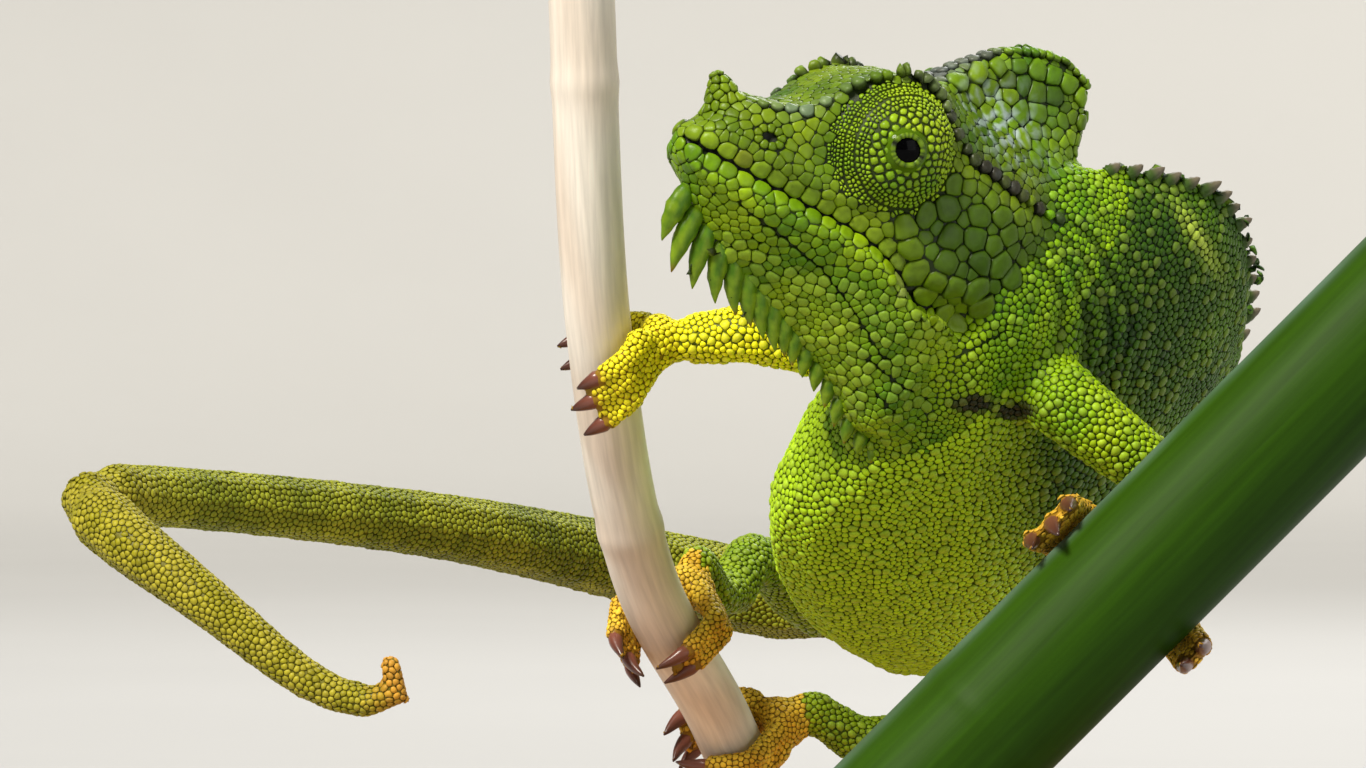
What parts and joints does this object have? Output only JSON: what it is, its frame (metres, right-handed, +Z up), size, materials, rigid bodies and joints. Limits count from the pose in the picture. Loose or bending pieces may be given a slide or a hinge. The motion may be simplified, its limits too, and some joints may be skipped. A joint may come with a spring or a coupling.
{
  "type": "high-casqued chameleon",
  "caption": "Life-size still model of a high-casqued chameleon that grips two cut plant stems, on a plain display stand.",
  "frame": {"origin": "middle of the stand's underside", "axes": "+Z up; the animal looks along -X and a little towards -Y, its tail lies towards +Y and reaches along -X"},
  "size_m": [0.1211, 0.116, 0.1007],
  "materials": {
    "head_skin": "satin, plated scales",
    "body_skin": "matte, granular scales",
    "foot_skin": "matte, granular scales",
    "tail_skin": "matte, ringed scales",
    "claw": "smooth horn",
    "eye": "wet gloss",
    "green_stem": "waxy green bark",
    "brown_stem": "dry bark",
    "stand_steel": "brushed",
    "base_wood": "oiled oak"
  },
  "bodies": {
    "root": {"head": "head_skin", "casque": "head_skin", "rostral_horn": "head_skin", "lower_jaw": "head_skin", "throat": "head_skin", "left_eye_turret": "head_skin", "right_eye_turret": "head_skin", "left_eyeball": "eye", "right_eyeball": "eye", "neck": "body_skin", "trunk_front": "body_skin", "trunk_back": "body_skin", "tail_1": "tail_skin", "tail_2": "tail_skin", "tail_3": "tail_skin", "tail_4": "tail_skin", "tail_5": "tail_skin", "left_foreleg_upper": "body_skin", "left_foreleg_lower": "foot_skin", "left_foreleg_palm": "foot_skin", "left_foreleg_inner_toes": "foot_skin", "left_foreleg_outer_toes": "foot_skin", "right_foreleg_upper": "body_skin", "right_foreleg_lower": "foot_skin", "right_foreleg_palm": "foot_skin", "right_foreleg_inner_toes": "foot_skin", "right_foreleg_outer_toes": "foot_skin", "left_hindleg_upper": "body_skin", "left_hindleg_lower": "foot_skin", "left_hindleg_palm": "foot_skin", "left_hindleg_inner_toes": "foot_skin", "left_hindleg_outer_toes": "foot_skin", "right_hindleg_upper": "body_skin", "right_hindleg_lower": "foot_skin", "right_hindleg_palm": "foot_skin", "right_hindleg_inner_toes": "foot_skin", "right_hindleg_outer_toes": "foot_skin", "front_stem": "green_stem", "back_stem": "brown_stem", "stand_rod_front": "stand_steel", "stand_collar_front": "stand_steel", "stand_rod_back": "stand_steel", "stand_collar_back": "stand_steel", "stand_base": "base_wood"}
  },
  "joints": []
}
